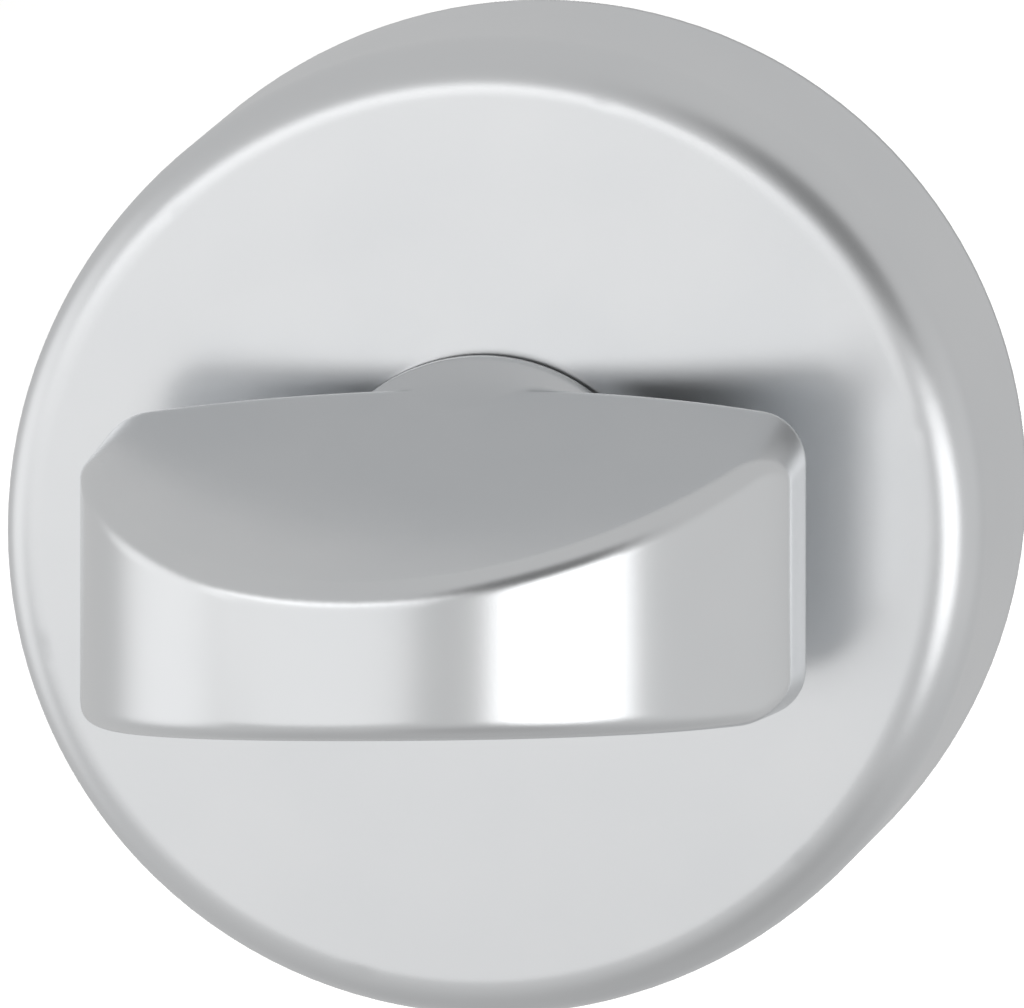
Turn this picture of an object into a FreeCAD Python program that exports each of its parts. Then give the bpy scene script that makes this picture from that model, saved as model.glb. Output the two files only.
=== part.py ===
import FreeCAD, Part
import math
import os
import re
import Sketcher

# Bathroom thumb turn on a round rose: the inside half of a privacy lock set.
# Every piece is drawn lying on the door face: its own X to the right, Y up and Z out of the door.
# The Placement of each piece then stands it up, so that world +Z is up and world -Y faces the room.

FACING_THE_ROOM = FreeCAD.Placement(FreeCAD.Vector(0, 0, 0), FreeCAD.Rotation(FreeCAD.Vector(1, 0, 0), 90))

# Driving sizes in millimetres, angles in degrees

SIZES = {
    # drawn aluminium rose cover
    "rose_radius": 26.0,
    "rose_height": 9.0,
    "rose_wall": 1.2,
    "rose_edge_radius": 2.4,
    "least_inner_radius": 0.3,
    "pry_notch_width": 5.0,
    "pry_notch_height": 0.9,
    # wire ring that the cover snaps over
    "clip_wire_diameter": 1.0,
    "clip_level": 3.2,
    "clip_bite": 0.3,
    "clip_clearance": 0.05,
    "clip_flex": 0.3,
    "clip_sweep": 336.0,
    # die-cast base plate screwed to the door
    "base_clearance": 0.2,
    "base_plate": 2.0,
    "base_rim_height": 5.2,
    "base_rim_wall": 1.9,
    "base_lead_in": 0.6,
    "base_opening_radius": 11.0,
    "base_collar_wall": 1.6,
    "base_collar_height": 4.2,
    "rib_width": 1.6,
    "rib_height": 1.6,
    "rib_root": 0.4,
    "boss_radius": 4.2,
    "boss_height": 3.2,
    "lug_centres": 38.0,
    "lug_radius": 3.75,
    "lug_length": 7.0,
    "lug_chamfer": 0.5,
    # wood screws into the door
    "screw_head_room": 0.2,
    "screw_radius": 1.75,
    "screw_core_radius": 1.2,
    "screw_shank": 0.6,
    "screw_clearance": 0.25,
    "screw_length": 16.0,
    "screw_point": 2.6,
    "screw_head_radius": 3.5,
    "screw_head_height": 2.6,
    "screw_head_bevel": 0.4,
    "screw_slot_width": 1.2,
    "screw_slot_depth": 1.1,
    # nylon bush in the cover
    "bush_wall": 1.5,
    "bush_flange_radius": 10.4,
    "bush_flange_thickness": 1.2,
    "bush_setback": 0.1,
    "press_clearance": 0.02,
    # turn
    "journal_radius": 7.0,
    "bearing_clearance": 0.05,
    "journal_chamfer": 0.5,
    "neck_radius": 9.8,
    "neck_waist_radius": 7.5,
    "neck_flare_radius": 16.0,
    "neck_lip": 0.35,
    "neck_running_gap": 0.2,
    "neck_root": 4.5,
    "turn_back_gap": 1.3,
    "turn_back_bow": 3.0,
    "turn_centre_gap": 1.4,
    "turn_front_radius": 19.6,
    "turn_end_trim": 0.85,
    "turn_back_half_height": 8.7,
    "turn_front_half_height": 3.75,
    "turn_side_bulge": 0.25,
    "turn_back_corner_radius": 2.9,
    "turn_front_corner_radius": 0.8,
    "turn_front_edge_radius": 1.2,
    "turn_back_edge_radius": 0.6,
    "turn_overcut": 0.5,
    # stack behind the bush
    "washer_radius": 10.2,
    "washer_thickness": 0.8,
    "washer_clearance": 0.15,
    "spring_radius": 9.8,
    "spring_thickness": 0.4,
    "spring_bow": 0.45,
    "stack_clearance": 0.05,
    "ring_groove_depth": 0.3,
    "ring_thickness": 1.0,
    "ring_clearance": 0.05,
    "ring_width": 1.9,
    "ring_eccentricity": 0.4,
    "ring_gap": 2.4,
    "ear_radius": 1.6,
    "ear_side": 3.0,
    "ear_drop": 0.75,
    "ear_hole_radius": 0.75,
    # square spindle and its spring pin
    "spindle_side": 8.0,
    "spindle_clearance": 0.05,
    "spindle_grip": 18.0,
    "spindle_reach": 42.0,
    "spindle_chamfer": 0.8,
    "pin_radius": 1.25,
    "pin_wall": 0.4,
    "pin_slot": 0.6,
    "pin_land": 1.0,
    "pin_setback": 0.3,
}

# Places worked out from the sizes, heights measured out from the door face

PLACES = {
    "cover_inner_radius": "rose_radius - rose_wall",
    "cover_ceiling": "rose_height - rose_wall",
    "cover_inner_edge": "max(rose_edge_radius - rose_wall; least_inner_radius)",
    "bush_radius": "journal_radius + bearing_clearance + bush_wall",
    "cover_hole_radius": "bush_radius + press_clearance",
    "clip_wire_radius": "clip_wire_diameter / 2",
    "clip_radius": "cover_inner_radius + clip_bite - clip_wire_radius",
    "clip_seat_radius": "clip_wire_radius + clip_clearance",
    "clip_seat_half": "sqrt(clip_seat_radius ^ 2 - (cover_inner_radius - clip_radius) ^ 2)",
    "base_radius": "cover_inner_radius - base_clearance",
    "base_groove_radius": "clip_radius - clip_wire_radius - clip_flex",
    "base_groove_top": "clip_level + clip_seat_radius",
    "base_groove_bottom": "clip_level - clip_seat_radius",
    "base_rim_inner": "base_radius - base_rim_wall",
    "base_collar_radius": "base_opening_radius + base_collar_wall",
    "rib_top": "base_plate + rib_height",
    "screw_offset": "base_rim_inner - screw_head_room - screw_head_radius",
    "lug_offset": "lug_centres / 2",
    "screw_hole_radius": "screw_radius + screw_clearance",
    "screw_head_top": "boss_height + screw_head_height",
    "screw_tip": "boss_height - screw_length",
    "bush_back": "cover_ceiling - bush_flange_thickness",
    "bush_front": "rose_height - bush_setback",
    "washer_back": "bush_back - washer_thickness",
    "spring_crown": "washer_back - stack_clearance",
    "spring_foot": "spring_crown - spring_bow - spring_thickness",
    "spring_curve": "(spring_radius ^ 2 + spring_bow ^ 2) / (2 * spring_bow)",
    "spring_blank": "spring_radius + ring_width",
    "spring_blank_drop": "spring_curve - sqrt(spring_curve ^ 2 - spring_blank ^ 2)",
    "ring_front": "spring_foot - stack_clearance",
    "ring_back": "ring_front - ring_thickness",
    "groove_front": "ring_front + ring_clearance",
    "groove_back": "ring_back - ring_clearance",
    "groove_radius": "journal_radius - ring_groove_depth",
    "ring_inner_radius": "groove_radius + ring_clearance",
    "ring_outer_radius": "ring_inner_radius + ring_width",
    "ear_level": "ring_outer_radius - ear_drop",
    "pin_level": "groove_back - pin_land - pin_radius",
    "journal_end": "pin_level - pin_radius - pin_land",
    "shoulder": "rose_height + neck_running_gap",
    "neck_lip_top": "shoulder + neck_lip",
    "turn_back": "rose_height + turn_back_gap",
    "neck_top": "turn_back + neck_root",
    "turn_centre": "rose_height + turn_centre_gap",
    "turn_half_length": "turn_front_radius - turn_end_trim",
    "turn_apex": "turn_centre + turn_front_radius",
    "turn_cut_half": "turn_front_radius - turn_end_trim / 2",
    "turn_back_radius": "(turn_half_length ^ 2 + turn_back_bow ^ 2) / (2 * turn_back_bow)",
    "turn_cut_back": "turn_back + turn_back_radius - sqrt(turn_back_radius ^ 2 - turn_cut_half ^ 2)",
    "turn_cut_front": "turn_centre + sqrt(turn_front_radius ^ 2 - turn_cut_half ^ 2)",
    "loft_back": "turn_back - turn_overcut",
    "loft_front": "turn_apex + turn_overcut",
    "turn_middle_half_height": "(turn_back_half_height + turn_front_half_height) / 2 + turn_side_bulge",
    "turn_middle_corner_radius": "(turn_back_corner_radius + turn_front_corner_radius) / 2",
    "spindle_half": "spindle_side / 2",
    "socket_half": "spindle_half + spindle_clearance",
    "spindle_front": "journal_end + spindle_grip",
    "socket_depth": "spindle_grip + spindle_clearance",
    "pin_hole_radius": "pin_radius + press_clearance",
    "pin_half_length": "journal_radius - pin_setback",
}

QUARTERS = 4
BETWEEN_RIBS = 45.0
SCREWS_BETWEEN_RIBS = FreeCAD.Rotation(FreeCAD.Vector(0, 0, 1), BETWEEN_RIBS)
GAP_AT_THE_TOP = FreeCAD.Rotation(FreeCAD.Vector(0, 0, 1), -90)

doc = FreeCAD.newDocument("bathroom_thumb_turn")
sheet = doc.addObject("Spreadsheet::Sheet", "Sizes")
for row, (alias, number) in enumerate(SIZES.items(), start=1):
    sheet.set("A%d" % row, alias)
    sheet.set("B%d" % row, str(number))
    sheet.setAlias("B%d" % row, alias)
doc.recompute()


def written_out(expression):
    """Give an expression with each place and each size replaced by what the sheet holds."""

    def full(match):
        word = match.group(0)
        if word in PLACES:
            return "(" + written_out(PLACES[word]) + ")"
        return "Sizes." + word if word in SIZES else word

    return re.sub(r"[a-z][a-z_]*", full, expression)


def value(expression):
    return float(sheet.evalExpression(written_out(expression)))


def bind(item, name, expression):
    item.setExpression(name, written_out(expression))


# Sketches

def new_body(label, turned=None):
    body = doc.addObject("PartDesign::Body", label)
    body.Label = label
    body.Placement = FACING_THE_ROOM
    if turned:
        body.Placement = FACING_THE_ROOM * FreeCAD.Placement(FreeCAD.Vector(0, 0, 0), turned)
    return body


def origin_feature(body, role):
    return next(item for item in body.Origin.OriginFeatures if item.Role == role)


def new_sketch(body, name, plane, level=None, angle=0.0):
    """Put an empty sketch on an origin plane of the body, lifted to a level if one is given."""
    sketch = body.newObject("Sketcher::SketchObject", name)
    sketch.AttachmentSupport = [(origin_feature(body, plane), "")]
    sketch.MapMode = "FlatFace"
    sketch.AttachmentOffset = FreeCAD.Placement(
        FreeCAD.Vector(0, 0, 0), FreeCAD.Rotation(FreeCAD.Vector(0, 0, 1), angle)
    )
    if level:
        bind(sketch, "AttachmentOffset.Base.z", level)
    return sketch


def hold(sketch, kind, geometry, expression, *ends):
    """Add one driving dimension and bind it to the sheet."""
    index = sketch.addConstraint(Sketcher.Constraint(kind, *ends, *geometry, value(expression)))
    bind(sketch, "Constraints[%d]" % index, expression)


def fix_point(sketch, geometry, x, y):
    """Place a point of the sketch at two expressions, measured from the origin."""
    for kind, axis, expression in (("DistanceX", -2, x), ("DistanceY", -1, y)):
        if expression == "0":
            sketch.addConstraint(Sketcher.Constraint("PointOnObject", *geometry, axis))
        else:
            hold(sketch, kind, geometry, expression, -1, 1)


def outline(sketch, corners, arcs=None):
    """Draw a closed outline; arcs gives, by corner, the radius of the arc that leaves it.

    The arc's centre is on the left of the way along, or on the right where the radius has a minus sign.
    """
    arcs = arcs or {}
    points = [FreeCAD.Vector(value(x), value(y), 0) for x, y in corners]
    edges = []
    for number, start in enumerate(points):
        end = points[(number + 1) % len(points)]
        radius = arcs.get(number)
        if radius is None:
            edges.append((sketch.addGeometry(Part.LineSegment(start, end)), 1, 2))
            continue
        on_left = not radius.startswith("-")
        size = radius.lstrip("-")
        along = end - start
        to_left = FreeCAD.Vector(-along.y, along.x, 0).normalize()
        rise = math.sqrt(max(value(size) ** 2 - (along.Length / 2) ** 2, 0.0))
        centre = (start + end) / 2 + to_left * (rise if on_left else -rise)
        first, last = (start, end) if on_left else (end, start)
        angles = [math.atan2(point.y - centre.y, point.x - centre.x) for point in (first, last)]
        circle = Part.Circle(centre, FreeCAD.Vector(0, 0, 1), value(size))
        index = sketch.addGeometry(Part.ArcOfCircle(circle, *angles))
        hold(sketch, "Radius", (index,), size)
        edges.append((index, 1, 2) if on_left else (index, 2, 1))
    for number, (index, _, end) in enumerate(edges):
        following, begin, _ = edges[(number + 1) % len(edges)]
        sketch.addConstraint(Sketcher.Constraint("Coincident", index, end, following, begin))
    for (index, begin, _), (x, y) in zip(edges, corners):
        fix_point(sketch, (index, begin), x, y)


def circle(sketch, x, y, radius):
    centre = FreeCAD.Vector(value(x), value(y), 0)
    index = sketch.addGeometry(Part.Circle(centre, FreeCAD.Vector(0, 0, 1), value(radius)))
    hold(sketch, "Radius", (index,), radius)
    fix_point(sketch, (index, 3), x, y)


def rectangle(sketch, left, right, bottom, top):
    outline(sketch, [(left, bottom), (right, bottom), (right, top), (left, top)])


def rounded_rectangle(sketch, half_width, half_height, corner):
    """Draw a rectangle about the origin with round corners, running anticlockwise."""
    side, rise = "(%s) - (%s)" % (half_width, corner), "(%s) - (%s)" % (half_height, corner)
    corners = [
        ("-(%s)" % side, "-(%s)" % half_height),
        (side, "-(%s)" % half_height),
        (half_width, "-(%s)" % rise),
        (half_width, rise),
        (side, half_height),
        ("-(%s)" % side, half_height),
        ("-(%s)" % half_width, rise),
        ("-(%s)" % half_width, "-(%s)" % rise),
    ]
    outline(sketch, corners, {number: corner for number in (1, 3, 5, 7)})


def centre_line(sketch, offset):
    """Add a centre line to a section at an offset from the turn's axis, and give its name as an axis."""
    ends = [FreeCAD.Vector(value(offset), height, 0) for height in (0, value("boss_height"))]
    index = sketch.addGeometry(Part.LineSegment(*ends), True)
    fix_point(sketch, (index, 1), offset, "0")
    fix_point(sketch, (index, 2), offset, "boss_height")
    return "Axis0"


# Features

def pad(body, name, sketch, length, downwards=False, both_ways=False):
    feature = body.newObject("PartDesign::Pad", name)
    feature.Profile = sketch
    feature.Reversed = downwards
    feature.SideType = "Symmetric" if both_ways else "One side"
    bind(feature, "Length", length)
    return feature


def pocket(body, name, sketch, length=None, upwards=False):
    """Cut a sketch to a depth, or right through both ways where no depth is given."""
    doc.recompute()
    before = body.Shape.Volume
    feature = body.newObject("PartDesign::Pocket", name)
    feature.Profile = sketch
    feature.Reversed = upwards
    if length:
        bind(feature, "Length", length)
    else:
        feature.SideType = "Symmetric"
        feature.Type = "ThroughAll"
    doc.recompute()
    if body.Shape.Volume >= before:
        raise RuntimeError("%s cuts nothing" % name)
    return feature


def revolve(body, name, sketch, axis="V_Axis"):
    feature = body.newObject("PartDesign::Revolution", name)
    feature.Profile = sketch
    feature.ReferenceAxis = (sketch, [axis])
    feature.Angle = 360.0
    return feature


def turned_piece(label, corners, arcs=None):
    """Make a body of revolution about the turn's axis from a half section of radius and height."""
    body = new_body(label)
    section = new_sketch(body, label + "_section", "XZ_Plane")
    outline(section, corners, arcs)
    revolve(body, label + "_form", section)
    return body


def both_sides(body, name, features):
    """Repeat features on the other side of the turn's axis."""
    mirror = body.newObject("PartDesign::Mirrored", name)
    mirror.Originals = features
    mirror.MirrorPlane = (origin_feature(body, "YZ_Plane"), [""])
    body.Tip = mirror


def all_quarters(body, name, features):
    """Repeat features four times round the turn's axis."""
    pattern = body.newObject("PartDesign::PolarPattern", name)
    pattern.Originals = features
    pattern.Axis = (origin_feature(body, "Z_Axis"), [""])
    pattern.Angle = 360.0
    pattern.Occurrences = QUARTERS
    body.Tip = pattern


# Rose cover: a drawn cup with a rolled edge, a hole for the bush and a groove for the wire ring

def rose_cover():
    corners = [
        ("cover_hole_radius", "cover_ceiling"),
        ("cover_inner_radius - cover_inner_edge", "cover_ceiling"),
        ("cover_inner_radius", "cover_ceiling - cover_inner_edge"),
        ("cover_inner_radius", "clip_level + clip_seat_half"),
        ("cover_inner_radius", "clip_level - clip_seat_half"),
        ("cover_inner_radius", "0"),
        ("rose_radius", "0"),
        ("rose_radius", "rose_height - rose_edge_radius"),
        ("rose_radius - rose_edge_radius", "rose_height"),
        ("cover_hole_radius", "rose_height"),
    ]
    arcs = {1: "-cover_inner_edge", 3: "-clip_seat_radius", 7: "rose_edge_radius"}
    body = turned_piece("rose_cover", corners, arcs)
    notch = new_sketch(body, "pry_notch_outline", "XY_Plane")
    rectangle(notch, "-pry_notch_width / 2", "pry_notch_width / 2", "-rose_radius - rose_wall", "-base_radius")
    pocket(body, "pry_notch", notch, "pry_notch_height", upwards=True)
    return body


# Base: a zinc casting with a grooved rim, a collar, ribs, four screw bosses and two lugs for the door

def base():
    corners = [
        ("base_opening_radius", "0"),
        ("base_radius", "0"),
        ("base_radius", "base_groove_bottom"),
        ("base_groove_radius", "base_groove_bottom"),
        ("base_groove_radius", "base_groove_top"),
        ("base_radius", "base_groove_top"),
        ("base_radius", "base_rim_height - base_lead_in"),
        ("base_radius - base_lead_in", "base_rim_height"),
        ("base_rim_inner", "base_rim_height"),
        ("base_rim_inner", "base_plate"),
        ("base_collar_radius", "base_plate"),
        ("base_collar_radius", "base_collar_height"),
        ("base_opening_radius", "base_collar_height"),
    ]
    body = turned_piece("base", corners)
    rib_outline = new_sketch(body, "rib_outline", "XY_Plane")
    reach = ("base_collar_radius - rib_root", "base_rim_inner + rib_root")
    rectangle(rib_outline, *reach, "-rib_width / 2", "rib_width / 2")
    rib = pad(body, "rib", rib_outline, "rib_top")
    all_quarters(body, "ribs", [rib])
    boss_outline = new_sketch(body, "boss_outline", "XY_Plane", angle=BETWEEN_RIBS)
    circle(boss_outline, "screw_offset", "0", "boss_radius")
    boss = pad(body, "boss", boss_outline, "boss_height")
    hole_outline = new_sketch(body, "screw_hole_outline", "XY_Plane", angle=BETWEEN_RIBS)
    circle(hole_outline, "screw_offset", "0", "screw_hole_radius")
    hole = pocket(body, "screw_hole", hole_outline)
    all_quarters(body, "bosses", [boss, hole])
    lug_section = new_sketch(body, "lug_section", "XZ_Plane")
    lug_corners = [
        ("lug_offset", "rib_root"),
        ("lug_offset", "-lug_length"),
        ("lug_offset + lug_radius - lug_chamfer", "-lug_length"),
        ("lug_offset + lug_radius", "lug_chamfer - lug_length"),
        ("lug_offset + lug_radius", "rib_root"),
    ]
    outline(lug_section, lug_corners)
    lug = revolve(body, "lug", lug_section, centre_line(lug_section, "lug_offset"))
    both_sides(body, "lug_pair", [lug])
    return body


# Wire ring that sits in the base's groove and snaps into the cover's

def cover_snap_ring():
    body = new_body("cover_snap_ring", GAP_AT_THE_TOP)
    wire = new_sketch(body, "clip_wire_section", "XZ_Plane")
    circle(wire, "clip_radius", "clip_level", "clip_wire_radius")
    ring = revolve(body, "clip_wire", wire)
    ring.Midplane = True
    bind(ring, "Angle", "clip_sweep")
    return body


# Fixing screws: four slotted wood screws through the base's bosses, drawn to the core of their threads

def fixing_screws():
    body = new_body("fixing_screws", SCREWS_BETWEEN_RIBS)
    body.AllowCompound = True
    section = new_sketch(body, "screw_section", "XZ_Plane")
    corners = [
        ("screw_offset", "screw_tip"),
        ("screw_offset + screw_core_radius", "screw_tip + screw_point"),
        ("screw_offset + screw_core_radius", "-screw_shank"),
        ("screw_offset + screw_radius", "-screw_shank"),
        ("screw_offset + screw_radius", "boss_height"),
        ("screw_offset + screw_head_radius", "boss_height"),
        ("screw_offset + screw_head_radius", "screw_head_top - screw_head_bevel"),
        ("screw_offset + screw_head_radius - screw_head_bevel", "screw_head_top"),
        ("screw_offset", "screw_head_top"),
    ]
    outline(section, corners)
    screw = revolve(body, "screw", section, centre_line(section, "screw_offset"))
    slot_outline = new_sketch(body, "screw_slot_outline", "XY_Plane", "screw_head_top")
    ends = ("screw_offset - 2 * screw_head_radius", "screw_offset + 2 * screw_head_radius")
    rectangle(slot_outline, *ends, "-screw_slot_width / 2", "screw_slot_width / 2")
    slot = pocket(body, "screw_slot", slot_outline, "screw_slot_depth")
    all_quarters(body, "screw_set", [screw, slot])
    return body


# Bearing bush: nylon, pushed into the cover's hole from behind up to its flange

def bearing_bush():
    corners = [
        ("journal_radius + bearing_clearance", "bush_back"),
        ("bush_flange_radius", "bush_back"),
        ("bush_flange_radius", "cover_ceiling"),
        ("bush_radius", "cover_ceiling"),
        ("bush_radius", "bush_front"),
        ("journal_radius + bearing_clearance", "bush_front"),
    ]
    return turned_piece("bearing_bush", corners)


# Thrust washer: flat steel, between the bush's flange and the spring

def thrust_washer():
    inner = "journal_radius + washer_clearance"
    corners = [
        (inner, "washer_back"),
        ("washer_radius", "washer_back"),
        ("washer_radius", "bush_back"),
        (inner, "bush_back"),
    ]
    return turned_piece("thrust_washer", corners)


# Spring washer: a ring of thin strip bent to one arc, which takes up the play of the turn

def spring_washer():
    body = new_body("spring_washer")
    strip = new_sketch(body, "spring_strip", "XZ_Plane")
    foot = "spring_crown - spring_thickness - spring_blank_drop"
    corners = [
        ("-spring_blank", foot),
        ("-spring_blank", foot + " + spring_thickness"),
        ("spring_blank", foot + " + spring_thickness"),
        ("spring_blank", foot),
    ]
    outline(strip, corners, {1: "-spring_curve", 3: "spring_curve"})
    pad(body, "spring_blank_form", strip, "2 * spring_blank", both_ways=True)
    trim = new_sketch(body, "spring_trim", "XY_Plane")
    rectangle(trim, "-2 * spring_blank", "2 * spring_blank", "-2 * spring_blank", "2 * spring_blank")
    circle(trim, "0", "0", "spring_radius")
    pocket(body, "spring_edge", trim)
    bore = new_sketch(body, "spring_bore", "XY_Plane")
    circle(bore, "0", "0", "journal_radius + washer_clearance")
    pocket(body, "spring_hole", bore)
    return body


# Retaining ring: an external circlip with two ears, sprung into the journal's groove

def retaining_ring():
    body = new_body("retaining_ring")
    disc = new_sketch(body, "ring_outline", "XY_Plane", "ring_back")
    circle(disc, "0", "ring_eccentricity", "ring_outer_radius")
    pad(body, "ring", disc, "ring_thickness")
    for side in ("-ear_side", "ear_side"):
        ear = new_sketch(body, "ear_outline", "XY_Plane", "ring_back")
        circle(ear, side, "-ear_level", "ear_radius")
        pad(body, "ear", ear, "ring_thickness")
    bore = new_sketch(body, "ring_bore_outline", "XY_Plane", "ring_back")
    circle(bore, "0", "0", "ring_inner_radius")
    pocket(body, "ring_bore", bore, "ring_thickness", upwards=True)
    cuts = new_sketch(body, "ring_cuts", "XY_Plane", "ring_back")
    rectangle(cuts, "-ring_gap / 2", "ring_gap / 2", "-2 * ring_outer_radius", "-ear_radius")
    for side in ("-ear_side", "ear_side"):
        circle(cuts, side, "-ear_level", "ear_hole_radius")
    pocket(body, "ring_openings", cuts, "ring_thickness", upwards=True)
    return body


# Spindle: 8 mm square steel bar that drives the lock's follower

def spindle():
    body = new_body("spindle")
    square = new_sketch(body, "spindle_square", "XY_Plane", "-spindle_reach")
    rectangle(square, "-spindle_half", "spindle_half", "-spindle_half", "spindle_half")
    bar = pad(body, "spindle_bar", square, "spindle_reach + spindle_front")
    doc.recompute()
    ends = [
        "Face%d" % number
        for number, face in enumerate(bar.Shape.Faces, start=1)
        if abs(face.normalAt(0, 0).z) > 0.9
    ]
    chamfer = body.newObject("PartDesign::Chamfer", "spindle_ends")
    chamfer.Base = (bar, ends)
    bind(chamfer, "Size", "spindle_chamfer")
    hole = new_sketch(body, "spindle_pin_hole_outline", "XZ_Plane")
    circle(hole, "0", "pin_level", "pin_hole_radius")
    pocket(body, "spindle_pin_hole", hole)
    return body


# Spindle pin: a slotted spring pin driven through the journal and the spindle

def spindle_pin():
    body = new_body("spindle_pin")
    tube = new_sketch(body, "pin_tube", "XZ_Plane")
    circle(tube, "0", "pin_level", "pin_radius")
    circle(tube, "0", "pin_level", "pin_radius - pin_wall")
    pad(body, "pin", tube, "2 * pin_half_length", both_ways=True)
    slot = new_sketch(body, "pin_slot_outline", "XZ_Plane")
    rectangle(slot, "-pin_slot / 2", "pin_slot / 2", "pin_level - 2 * pin_radius", "pin_level")
    pocket(body, "pin_slot_cut", slot)
    return body


# Thumb turn: one aluminium casting, a tapering half-round blade on a flared neck and a plain journal

def soften(body, base_feature, round_face, radius):
    """Fillet the rim of the blade's face that is a cylinder of the given radius."""
    doc.recompute()
    faces = [
        "Face%d" % number
        for number, face in enumerate(base_feature.Shape.Faces, start=1)
        if isinstance(face.Surface, Part.Cylinder)
        and math.isclose(face.Surface.Radius, value(round_face), rel_tol=1e-6)
    ]
    fillet = body.newObject("PartDesign::Fillet", round_face + "_edge")
    fillet.Base = (base_feature, faces)
    bind(fillet, "Radius", radius)


def thumb_turn():
    body = new_body("thumb_turn")
    blade_sections = [
        ("loft_back", "turn_back_half_height", "turn_back_corner_radius"),
        ("(loft_back + loft_front) / 2", "turn_middle_half_height", "turn_middle_corner_radius"),
        ("loft_front", "turn_front_half_height", "turn_front_corner_radius"),
    ]
    sketches = []
    for number, (level, half_height, corner) in enumerate(blade_sections):
        sketch = new_sketch(body, "blade_section_%d" % number, "XY_Plane", level)
        rounded_rectangle(sketch, "turn_half_length", half_height, corner)
        sketches.append(sketch)
    blade = body.newObject("PartDesign::AdditiveLoft", "blade")
    blade.Profile = sketches[0]
    blade.Sections = sketches[1:]
    plan = new_sketch(body, "blade_plan", "XZ_Plane")
    beyond = "2 * turn_front_radius"
    rectangle(plan, "-" + beyond, beyond, "-" + beyond, "turn_apex + " + beyond)
    corners = [
        ("-turn_cut_half", "turn_cut_back"),
        ("turn_cut_half", "turn_cut_back"),
        ("turn_cut_half", "turn_cut_front"),
        ("-turn_cut_half", "turn_cut_front"),
    ]
    outline(plan, corners, {0: "turn_back_radius", 2: "turn_front_radius"})
    trimmed = pocket(body, "blade_trim", plan)
    soften(body, trimmed, "turn_front_radius", "turn_front_edge_radius")
    soften(body, body.Tip, "turn_back_radius", "turn_back_edge_radius")
    neck_section = new_sketch(body, "neck_section", "XZ_Plane")
    corners = [
        ("0", "neck_top"),
        ("neck_waist_radius", "neck_top"),
        ("neck_radius", "neck_lip_top"),
        ("neck_radius", "shoulder"),
        ("journal_radius", "shoulder"),
        ("journal_radius", "groove_front"),
        ("groove_radius", "groove_front"),
        ("groove_radius", "groove_back"),
        ("journal_radius", "groove_back"),
        ("journal_radius", "journal_end + journal_chamfer"),
        ("journal_radius - journal_chamfer", "journal_end"),
        ("0", "journal_end"),
    ]
    outline(neck_section, corners, {1: "neck_flare_radius"})
    revolve(body, "neck_and_journal", neck_section)
    socket = new_sketch(body, "socket_outline", "XY_Plane", "journal_end")
    rectangle(socket, "-socket_half", "socket_half", "-socket_half", "socket_half")
    pocket(body, "spindle_socket", socket, "socket_depth", upwards=True)
    hole = new_sketch(body, "pin_hole_outline", "XZ_Plane")
    circle(hole, "0", "pin_level", "pin_hole_radius")
    pocket(body, "pin_hole", hole)
    return body


PIECES = [
    rose_cover,
    base,
    cover_snap_ring,
    fixing_screws,
    bearing_bush,
    thrust_washer,
    spring_washer,
    retaining_ring,
    spindle,
    spindle_pin,
    thumb_turn,
]
bodies = [make() for make in PIECES]
doc.recompute()

# Nothing is written unless every object of the document is sound

for item in doc.Objects:
    if "Invalid" in item.State or "Error" in item.State:
        raise RuntimeError("%s did not compute" % item.Label)
for body in bodies:
    if body.Shape.isNull() or not body.Shape.isValid():
        raise RuntimeError("%s has no sound shape" % body.Label)

os.makedirs("parts", exist_ok=True)
for body in bodies:
    body.Shape.exportStep("parts/%s.step" % body.Label)
    box = body.Shape.BoundBox
    print("%-16s %2d solid(s) %10.2f mm3" % (body.Label, len(body.Shape.Solids), body.Shape.Volume), box)
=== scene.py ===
import bpy
import math
from mathutils import Matrix, Vector


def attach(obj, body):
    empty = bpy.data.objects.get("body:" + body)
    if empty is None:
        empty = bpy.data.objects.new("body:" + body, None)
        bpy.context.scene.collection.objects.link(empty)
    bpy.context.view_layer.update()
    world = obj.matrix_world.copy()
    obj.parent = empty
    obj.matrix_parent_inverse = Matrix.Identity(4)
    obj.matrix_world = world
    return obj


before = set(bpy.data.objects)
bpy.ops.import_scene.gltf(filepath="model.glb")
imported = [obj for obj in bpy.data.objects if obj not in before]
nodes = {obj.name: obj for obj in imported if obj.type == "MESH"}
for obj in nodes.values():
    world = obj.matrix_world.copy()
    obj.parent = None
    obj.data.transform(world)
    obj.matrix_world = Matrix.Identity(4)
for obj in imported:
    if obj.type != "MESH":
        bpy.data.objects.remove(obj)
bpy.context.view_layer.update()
scene = bpy.context.scene
MM = 0.001

# Base: the casting that lies against the door and carries the rest: two lugs enter it and four screws hold it.
# It is zinc, shot into a steel die and passivated, so its skin is dull grey and faintly mottled,
# with slow waves where the melt cooled.

METAL = 1.0
SOME_OCTAVES = 3.0
MANY_OCTAVES = 4.0
ZINC_DARK = "#8C9094"
ZINC_LIGHT = "#A9ADB1"
ZINC_ROUGHNESS = (0.38, 0.55)
ZINC_CLOUD = 5.0 * MM
ZINC_SKIN = 0.35 * MM
ZINC_SKIN_DEPTH = 0.012 * MM


def linear(code):
    """Turn an sRGB hex colour into linear red, green, blue and alpha."""
    shares = [int(code[start:start + 2], 16) / 255 for start in (1, 3, 5)]
    return [c / 12.92 if c <= 0.04045 else ((c + 0.055) / 1.055) ** 2.4 for c in shares] + [1.0]


def add(tree, kind, inputs=None, **settings):
    """Add a node to a tree; inputs gives each named socket a value or the output that feeds it."""
    node = tree.nodes.new(kind)
    for name, setting in settings.items():
        setattr(node, name, setting)
    for name, source in (inputs or {}).items():
        if isinstance(source, bpy.types.NodeSocket):
            tree.links.new(source, node.inputs[name])
        else:
            node.inputs[name].default_value = source
    return node


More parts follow.
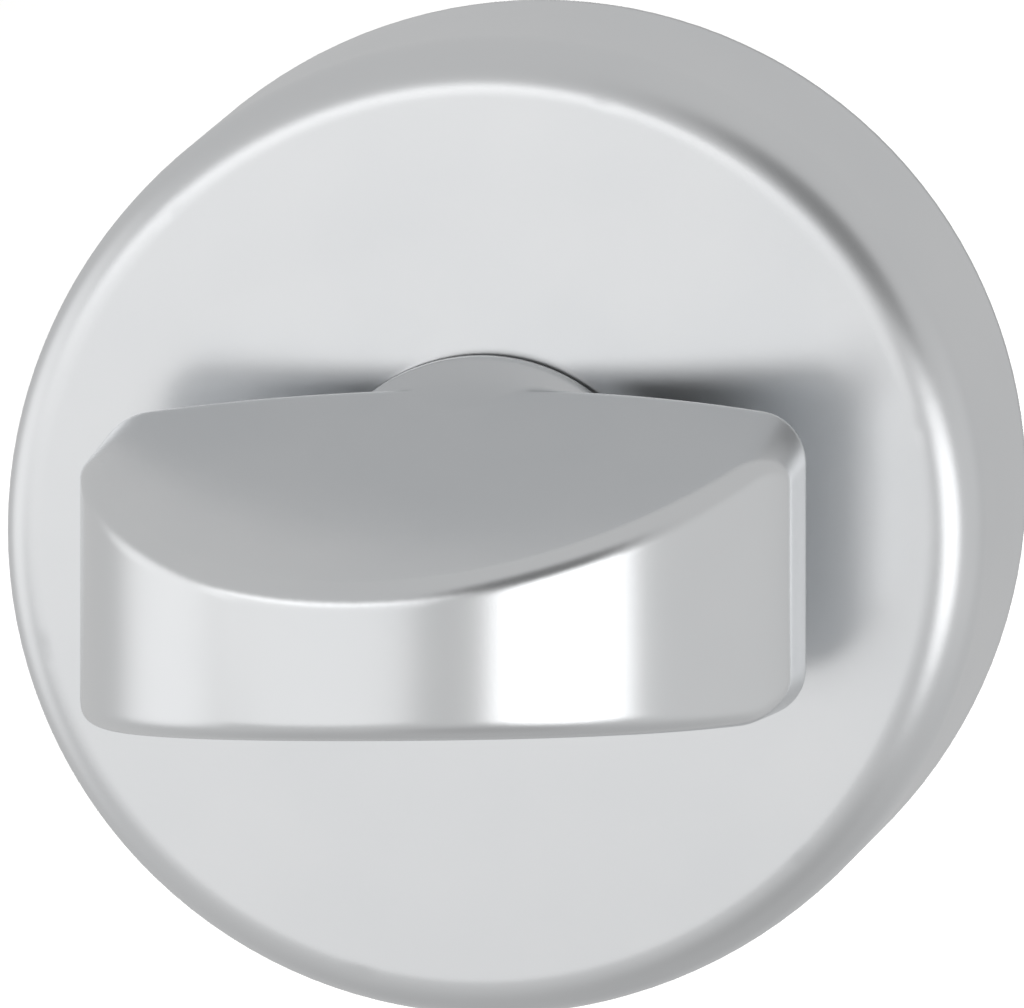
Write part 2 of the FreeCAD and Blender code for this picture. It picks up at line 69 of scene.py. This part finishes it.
def new_material(name, metallic):
    """Start a material and give it back with its tree, its shader and the piece's own coordinates."""
    material = bpy.data.materials.new(name)
    material.use_nodes = True
    tree = material.node_tree
    shader = tree.nodes["Principled BSDF"]
    shader.inputs["Metallic"].default_value = metallic
    return material, tree, shader, add(tree, "ShaderNodeTexCoord").outputs["Object"]


def finish(tree, shader, roughness, relief, colours=None):
    """Vary a surface: each look has the share it follows and its values. Give back the node of the relief."""
    share, low, high = roughness
    gloss = add(tree, "ShaderNodeMapRange", {"Value": share, "To Min": low, "To Max": high})
    tree.links.new(gloss.outputs["Result"], shader.inputs["Roughness"])
    if colours:
        share, first, last = colours
        colour = add(tree, "ShaderNodeMix", {0: share, 6: linear(first), 7: linear(last)}, data_type="RGBA")
        tree.links.new(colour.outputs[2], shader.inputs["Base Color"])
    share, depth = relief
    bump = add(tree, "ShaderNodeBump", {"Height": share, "Distance": depth})
    tree.links.new(bump.outputs["Normal"], shader.inputs["Normal"])
    return bump


def dress(name, material):
    """Give a node its material."""
    nodes[name].material_slots[0].material = material


def die_cast_zinc():
    material, tree, shader, place = new_material("passivated_zinc_casting", METAL)
    cloud = add(tree, "ShaderNodeTexNoise",
                {"Vector": place, "Scale": 1 / ZINC_CLOUD, "Detail": MANY_OCTAVES}).outputs["Fac"]
    skin = add(tree, "ShaderNodeTexNoise",
               {"Vector": place, "Scale": 1 / ZINC_SKIN, "Detail": SOME_OCTAVES}).outputs["Fac"]
    finish(tree, shader, roughness=(cloud, *ZINC_ROUGHNESS), relief=(skin, ZINC_SKIN_DEPTH),
           colours=(cloud, ZINC_DARK, ZINC_LIGHT))
    return material


dress("base", die_cast_zinc())

# Fixing screws: four slotted wood screws of steel, bright zinc plated, that hold the base on the door.
# Their threads are rolled: here each is a ridge swept along a helix round the screw's core, which narrows
# with the core towards the point and runs out to nothing at both ends.

FEW_OCTAVES = 2.0
PLATE_BLUE = "#BFC5CC"
PLATE_STRAW = "#CDC9BD"
PLATE_ROUGHNESS = (0.2, 0.34)
PLATE_CLOUD = 7.0 * MM
PLATE_SCRATCH = 0.12 * MM
PLATE_SCRATCH_LENGTH = 14.0
PLATE_SCRATCH_DEPTH = 0.001 * MM
RIGHT_ANGLE = math.pi / 2
SCREW_BEARING = math.pi / 4
THREAD_START = 1.0 * MM
PLAIN_TIP = 0.6 * MM

tip = max((vertex.co for vertex in nodes["fixing_screws"].data.vertices), key=lambda place: place.y)
THREAD = {
    "Screws": 4,
    "Screw Circle": math.hypot(tip.x, tip.z),
    "Thread Start": THREAD_START,
    "Thread Length": tip.y - THREAD_START - PLAIN_TIP,
    "Start to Tip": tip.y - THREAD_START,
    "Point Length": 2.6 * MM,
    "Pitch": 1.4 * MM,
    "Core Radius": 1.2 * MM,
    "Ridge Height": 0.55 * MM,
    "Ridge Root": 0.5 * MM,
    "Ridge Crest": 0.08 * MM,
    "Run-out": 0.08,
    "Steps per Turn": 32,
}


def plated_steel():
    # The plate is a cool, bright grey between blue and straw. The drawing lines of the steel show through it,
    # and they are made coarser than real ones so that they show in the render.
    material, tree, shader, place = new_material("bright_zinc_plated_steel", METAL)
    cloud = add(tree, "ShaderNodeTexNoise",
                {"Vector": place, "Scale": 1 / PLATE_CLOUD, "Detail": SOME_OCTAVES}).outputs["Fac"]
    along = add(tree, "ShaderNodeMapping",
                {"Vector": place, "Scale": (1.0, 1 / PLATE_SCRATCH_LENGTH, 1.0)}).outputs["Vector"]
    drawn = add(tree, "ShaderNodeTexNoise",
                {"Vector": along, "Scale": 1 / PLATE_SCRATCH, "Detail": FEW_OCTAVES}).outputs["Fac"]
    finish(tree, shader, roughness=(drawn, *PLATE_ROUGHNESS), relief=(drawn, PLATE_SCRATCH_DEPTH),
           colours=(cloud, PLATE_BLUE, PLATE_STRAW))
    return material


def thread_tree(material):
    """Sweep a ridge along a helix, narrow it towards the point and set one copy on each screw."""
    tree = bpy.data.node_groups.new("screw_thread", "GeometryNodeTree")
    for name, size in THREAD.items():
        kind = "NodeSocketInt" if isinstance(size, int) else "NodeSocketFloat"
        tree.interface.new_socket(name, in_out="INPUT", socket_type=kind)
    tree.interface.new_socket("Thread", in_out="OUTPUT", socket_type="NodeSocketGeometry")
    size = add(tree, "NodeGroupInput").outputs
    half = add(tree, "ShaderNodeMath", {0: size["Ridge Height"], 1: 0.5}, operation="MULTIPLY")
    middle = add(tree, "ShaderNodeMath", {0: size["Core Radius"], 1: half.outputs[0]}, operation="ADD")
    turns = add(tree, "ShaderNodeMath", {0: size["Thread Length"], 1: size["Pitch"]}, operation="DIVIDE")
    helix = add(tree, "GeometryNodeCurveSpiral", {
        "Resolution": size["Steps per Turn"],
        "Rotations": turns.outputs[0],
        "Start Radius": middle.outputs[0],
        "End Radius": middle.outputs[0],
        "Height": size["Thread Length"],
    })
    place = add(tree, "GeometryNodeInputPosition").outputs["Position"]
    height = add(tree, "ShaderNodeSeparateXYZ", {"Vector": place}).outputs["Z"]
    to_tip = add(tree, "ShaderNodeMath", {0: size["Start to Tip"], 1: height}, operation="SUBTRACT")
    taper = add(tree, "ShaderNodeMath", {0: to_tip.outputs[0], 1: size["Point Length"]},
                operation="DIVIDE", use_clamp=True).outputs[0]
    squeeze = add(tree, "ShaderNodeCombineXYZ", {"X": taper, "Y": taper, "Z": 1.0})
    squeezed = add(tree, "ShaderNodeVectorMath", {0: place, 1: squeeze.outputs[0]}, operation="MULTIPLY")
    pointed = add(tree, "GeometryNodeSetPosition",
                  {"Geometry": helix.outputs["Curve"], "Position": squeezed.outputs[0]})
    upright = add(tree, "GeometryNodeSetCurveNormal", {"Curve": pointed.outputs["Geometry"]}, mode="Z_UP")
    ridge = add(tree, "GeometryNodeCurvePrimitiveQuadrilateral", {
        "Bottom Width": size["Ridge Root"],
        "Top Width": size["Ridge Crest"],
        "Height": size["Ridge Height"],
        "Offset": 0.0,
    }, mode="TRAPEZOID")
    along = add(tree, "GeometryNodeSplineParameter").outputs["Factor"]
    back = add(tree, "ShaderNodeMath", {0: 1.0, 1: along}, operation="SUBTRACT")
    nearest = add(tree, "ShaderNodeMath", {0: along, 1: back.outputs[0]}, operation="MINIMUM")
    fade = add(tree, "ShaderNodeMath", {0: nearest.outputs[0], 1: size["Run-out"]},
               operation="DIVIDE", use_clamp=True)
    swell = add(tree, "ShaderNodeMath", {0: fade.outputs[0], 1: taper}, operation="MULTIPLY")
    swept = add(tree, "GeometryNodeCurveToMesh", {
        "Curve": upright.outputs["Curve"],
        "Profile Curve": ridge.outputs["Curve"],
        "Scale": swell.outputs[0],
        "Fill Caps": True,
    })
    ring = add(tree, "GeometryNodeMeshCircle", {"Vertices": size["Screws"], "Radius": size["Screw Circle"]})
    stood = add(tree, "GeometryNodeTransform", {
        "Geometry": ring.outputs["Mesh"],
        "Translation": add(tree, "ShaderNodeCombineXYZ", {"Y": size["Thread Start"]}).outputs[0],
        "Rotation": (RIGHT_ANGLE, SCREW_BEARING, 0.0),
    })
    copies = add(tree, "GeometryNodeInstanceOnPoints", {
        "Points": stood.outputs["Geometry"],
        "Instance": swept.outputs["Mesh"],
        "Rotation": (-RIGHT_ANGLE, 0.0, 0.0),
    })
    whole = add(tree, "GeometryNodeRealizeInstances", {"Geometry": copies.outputs["Instances"]})
    plated = add(tree, "GeometryNodeSetMaterial", {"Geometry": whole.outputs["Geometry"], "Material": material})
    add(tree, "NodeGroupOutput", {"Thread": plated.outputs["Geometry"]})
    return tree


def made_by_nodes(name, tree, sizes):
    """Run a node tree with the given sizes and keep its result as a plain mesh object."""
    piece = bpy.data.objects.new(name, bpy.data.meshes.new(name))
    scene.collection.objects.link(piece)
    modifier = piece.modifiers.new(tree.name, "NODES")
    modifier.node_group = tree
    for item in tree.interface.items_tree:
        if item.in_out == "INPUT":
            modifier[item.identifier] = sizes[item.name]
    depsgraph = bpy.context.evaluated_depsgraph_get()
    piece.data = bpy.data.meshes.new_from_object(piece.evaluated_get(depsgraph))
    piece.modifiers.clear()
    return piece


bright_plate = plated_steel()
dress("fixing_screws", bright_plate)
screw_threads = made_by_nodes("screw_threads", thread_tree(bright_plate), THREAD)
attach(screw_threads, "rose")

# Snap ring: a hoop of spring wire in the base's groove that the cover clicks over.
# Like the other springs it is hardened, phosphated and oiled, which leaves it nearly black with a low, greasy
# sheen and a crystal grain, drawn here coarser than it is so that it shows.

PHOSPHATE_METAL = 0.85
PHOSPHATE_DARK = "#2B2C2D"
PHOSPHATE_LIGHT = "#47484A"
PHOSPHATE_ROUGHNESS = (0.36, 0.58)
PHOSPHATE_CRYSTAL = 0.09 * MM
PHOSPHATE_DEPTH = 0.004 * MM


def phosphated_spring_steel():
    material, tree, shader, place = new_material("phosphated_spring_steel", PHOSPHATE_METAL)
    crystal = add(tree, "ShaderNodeTexVoronoi", {"Vector": place, "Scale": 1 / PHOSPHATE_CRYSTAL}).outputs
    finish(tree, shader, roughness=(crystal["Color"], *PHOSPHATE_ROUGHNESS),
           relief=(crystal["Distance"], PHOSPHATE_DEPTH),
           colours=(crystal["Color"], PHOSPHATE_DARK, PHOSPHATE_LIGHT))
    return material


spring_black = phosphated_spring_steel()
dress("cover_snap_ring", spring_black)

# Bearing bush: natural nylon, moulded with a flange and pushed into the cover's hole from behind.
# It is a milky off-white that lets a little light in, with the fine spark-eroded grain of its mould.

NOT_METAL = 0.0
NYLON = "#E6E1D3"
NYLON_IOR = 1.53
NYLON_ROUGHNESS = (0.36, 0.5)
NYLON_GLOW = 0.35
NYLON_DEPTH_OF_LIGHT = 0.6 * MM
NYLON_DEPTH_BY_COLOUR = (1.0, 0.9, 0.7)
NYLON_GRAIN = 0.12 * MM
NYLON_GRAIN_DEPTH = 0.004 * MM


def moulded_nylon():
    material, tree, shader, place = new_material("moulded_natural_nylon", NOT_METAL)
    shader.inputs["Base Color"].default_value = linear(NYLON)
    shader.inputs["IOR"].default_value = NYLON_IOR
    shader.inputs["Subsurface Weight"].default_value = NYLON_GLOW
    shader.inputs["Subsurface Radius"].default_value = NYLON_DEPTH_BY_COLOUR
    shader.inputs["Subsurface Scale"].default_value = NYLON_DEPTH_OF_LIGHT
    grain = add(tree, "ShaderNodeTexNoise",
                {"Vector": place, "Scale": 1 / NYLON_GRAIN, "Detail": FEW_OCTAVES}).outputs["Fac"]
    finish(tree, shader, roughness=(grain, *NYLON_ROUGHNESS), relief=(grain, NYLON_GRAIN_DEPTH))
    return material


dress("bearing_bush", moulded_nylon())

# Rose cover: a cup drawn from aluminium sheet that hides the base and its screws and snaps over the wire ring.
# It is blasted to an even satin and anodised clear, so it is pale and neutral, with soft mirror-like
# reflections, a grain that only shows close to, and edges that catch the light softly.

ALUMINIUM_PALE = "#E9EAEB"
ALUMINIUM_GREY = "#E1E3E5"
BLASTED_ROUGHNESS = (0.28, 0.35)
ALUMINIUM_CLOUD = 9.0 * MM
ALUMINIUM_GRAIN = 0.11 * MM
ALUMINIUM_GRAIN_DEPTH = 0.0012 * MM
SOFTENED_EDGE = 0.45 * MM
EDGE_SAMPLES = 6


def satin_anodised_aluminium(name, roughness):
    material, tree, shader, place = new_material(name, METAL)
    cloud = add(tree, "ShaderNodeTexNoise",
                {"Vector": place, "Scale": 1 / ALUMINIUM_CLOUD, "Detail": FEW_OCTAVES}).outputs["Fac"]
    grain = add(tree, "ShaderNodeTexNoise",
                {"Vector": place, "Scale": 1 / ALUMINIUM_GRAIN, "Detail": SOME_OCTAVES}).outputs["Fac"]
    bump = finish(tree, shader, roughness=(grain, *roughness), relief=(grain, ALUMINIUM_GRAIN_DEPTH),
                  colours=(cloud, ALUMINIUM_PALE, ALUMINIUM_GREY))
    edges = add(tree, "ShaderNodeBevel", {"Radius": SOFTENED_EDGE}, samples=EDGE_SAMPLES)
    tree.links.new(edges.outputs["Normal"], bump.inputs["Normal"])
    return material


dress("rose_cover", satin_anodised_aluminium("blasted_anodised_aluminium", BLASTED_ROUGHNESS))

# Thumb turn: one aluminium casting, blade, neck and journal, anodised like the cover but buffed first.
# So it mirrors a little more sharply. Its journal runs in the bush, and the blade is what the hand turns.

BUFFED_ROUGHNESS = (0.2, 0.26)

dress("thumb_turn", satin_anodised_aluminium("buffed_anodised_aluminium", BUFFED_ROUGHNESS))

# Stack behind the bush: a flat thrust washer of plated steel, a curved spring washer and a circlip.
# The circlip springs into the journal's groove and keeps the turn in the cover.

dress("thrust_washer", bright_plate)
dress("spring_washer", spring_black)
dress("retaining_ring", spring_black)

# Spindle: a drawn 8 mm square bar of plated steel in the journal's socket, which drives the lock.
# A slotted spring pin driven through both holds it there.

dress("spindle", bright_plate)
dress("spindle_pin", spring_black)

# Studio: a plain pale floor well below the part, an even surround with soft-edged patches, and soft boxes.
# Each box's strength is the brightness that the metal mirrors, where 1 is white; the floor and the lamp behind
# the part that lights it aren't mirrored, so the background is white and the metal keeps its greys.

FLOOR_LEVEL = -350.0 * MM
FLOOR_HALF = 6000.0 * MM
FLOOR_PALE = "#F2F2F1"
FLOOR_ROUGHNESS = 0.9
FLOOR_SHEEN = 0.0
SURROUND_WHITE = "#FFFFFF"
SURROUND_BRIGHTNESS = 0.58
PATCHES = [
    # (degrees to the right of straight in front, degrees up, degrees to where it is full and to its edge,
    # brightness)
    (34.0, 24.0, 14.0, 30.0, 0.2),
    (-82.0, -10.0, 9.0, 30.0, 1.04),
    (98.0, -14.0, 12.0, 36.0, 0.66),
    (0.0, -90.0, 10.0, 50.0, 0.48),
    (20.0, -54.0, 6.0, 26.0, 0.42),
]
SOFT_BOXES = {
    # name: (degrees to the right of straight in front, degrees up, distance, width, height, brightness)
    "right_box": (45.5, -15.0, 0.40, 0.30, 0.26, 3.6),
    "front_box": (-27.5, -5.5, 0.30, 0.41, 0.24, 1.25),
    "brow_box": (-24.0, 6.0, 0.295, 0.48, 0.055, 1.8),
    "background_lamp": (168.0, 24.0, 1.50, 1.20, 1.20, 19.0),
}
UNMIRRORED = {"background_lamp"}
BOX_TARGET = Vector((0.0, -15.0 * MM, 0.0))


def direction(azimuth, elevation):
    """Give the unit vector at some degrees to the right of straight in front and some degrees up."""
    turn, rise = math.radians(azimuth), math.radians(elevation)
    return Vector((math.sin(turn) * math.cos(rise), -math.cos(turn) * math.cos(rise), math.sin(rise)))


def pale_floor():
    material, _, shader, _ = new_material("pale_studio_floor", NOT_METAL)
    shader.inputs["Base Color"].default_value = linear(FLOOR_PALE)
    shader.inputs["Roughness"].default_value = FLOOR_ROUGHNESS
    shader.inputs["Specular IOR Level"].default_value = FLOOR_SHEEN
    return material


mesh = bpy.data.meshes.new("floor")
corners = [(-1, -1), (1, -1), (1, 1), (-1, 1)]
mesh.from_pydata([(x * FLOOR_HALF, y * FLOOR_HALF, FLOOR_LEVEL) for x, y in corners], [], [(0, 1, 2, 3)])
floor = bpy.data.objects.new("floor", mesh)
floor.data.materials.append(pale_floor())
scene.collection.objects.link(floor)
floor.visible_glossy = False

for name, (azimuth, elevation, distance, width, height, brightness) in SOFT_BOXES.items():
    box = bpy.data.lights.new(name, "AREA")
    box.shape = "ELLIPSE"
    box.size = width
    box.size_y = height
    box.energy = brightness * math.pi / 4 * width * height
    lamp = bpy.data.objects.new(name, box)
    scene.collection.objects.link(lamp)
    away = direction(azimuth, elevation)
    lamp.location = BOX_TARGET + away * distance
    lamp.rotation_euler = away.to_track_quat("Z", "Y").to_euler()
    lamp.visible_camera = False
    lamp.visible_glossy = name not in UNMIRRORED

world = bpy.data.worlds.new("surround")
world.use_nodes = True
tree = world.node_tree
looked_at = add(tree, "ShaderNodeTexCoord").outputs["Generated"]
strength = SURROUND_BRIGHTNESS
for azimuth, elevation, inner, outer, brightness in PATCHES:
    nearness = add(tree, "ShaderNodeVectorMath", {0: looked_at, 1: direction(azimuth, elevation)},
                   operation="DOT_PRODUCT")
    strength = add(tree, "ShaderNodeMapRange", {
        "Value": nearness.outputs["Value"],
        "From Min": math.cos(math.radians(outer)),
        "From Max": math.cos(math.radians(inner)),
        "To Min": strength,
        "To Max": brightness,
    }, interpolation_type="SMOOTHSTEP").outputs["Result"]
background = tree.nodes["Background"]
background.inputs["Color"].default_value = linear(SURROUND_WHITE)
tree.links.new(strength, background.inputs["Strength"])
scene.world = world
scene.view_settings.view_transform = "Standard"

# Camera: a view camera whose film stays parallel to the rose while it looks down on it from the right.
# The rose then shows round, front and back, and only what stands out of it moves down and to the left.

LOOK_RIGHT = 0.3486
LOOK_DOWN = 0.319
FRAME_WIDTH = 54.92 * MM
FILM_WIDTH = 36.0
DISTANCE = 1.2
FARTHEST = 20.0
CENTRE = Vector((-1.58 * MM, 0.0, -1.05 * MM))

camera = bpy.data.cameras.new("camera")
camera.sensor_width = FILM_WIDTH
camera.lens = FILM_WIDTH * DISTANCE / FRAME_WIDTH
camera.clip_end = FARTHEST
eye = bpy.data.objects.new("camera", camera)
stand = bpy.data.objects.new("camera_stand", None)
for item in (eye, stand):
    scene.collection.objects.link(item)
line = Vector((LOOK_RIGHT, -1.0, LOOK_DOWN)).normalized()
viewpoint = CENTRE + line * DISTANCE
eye.parent = stand
eye.matrix_parent_inverse = Matrix((
    (1.0, 0.0, line.x, viewpoint.x),
    (0.0, 0.0, line.y, viewpoint.y),
    (0.0, 1.0, line.z, viewpoint.z),
    (0.0, 0.0, 0.0, 1.0),
))
scene.camera = eye
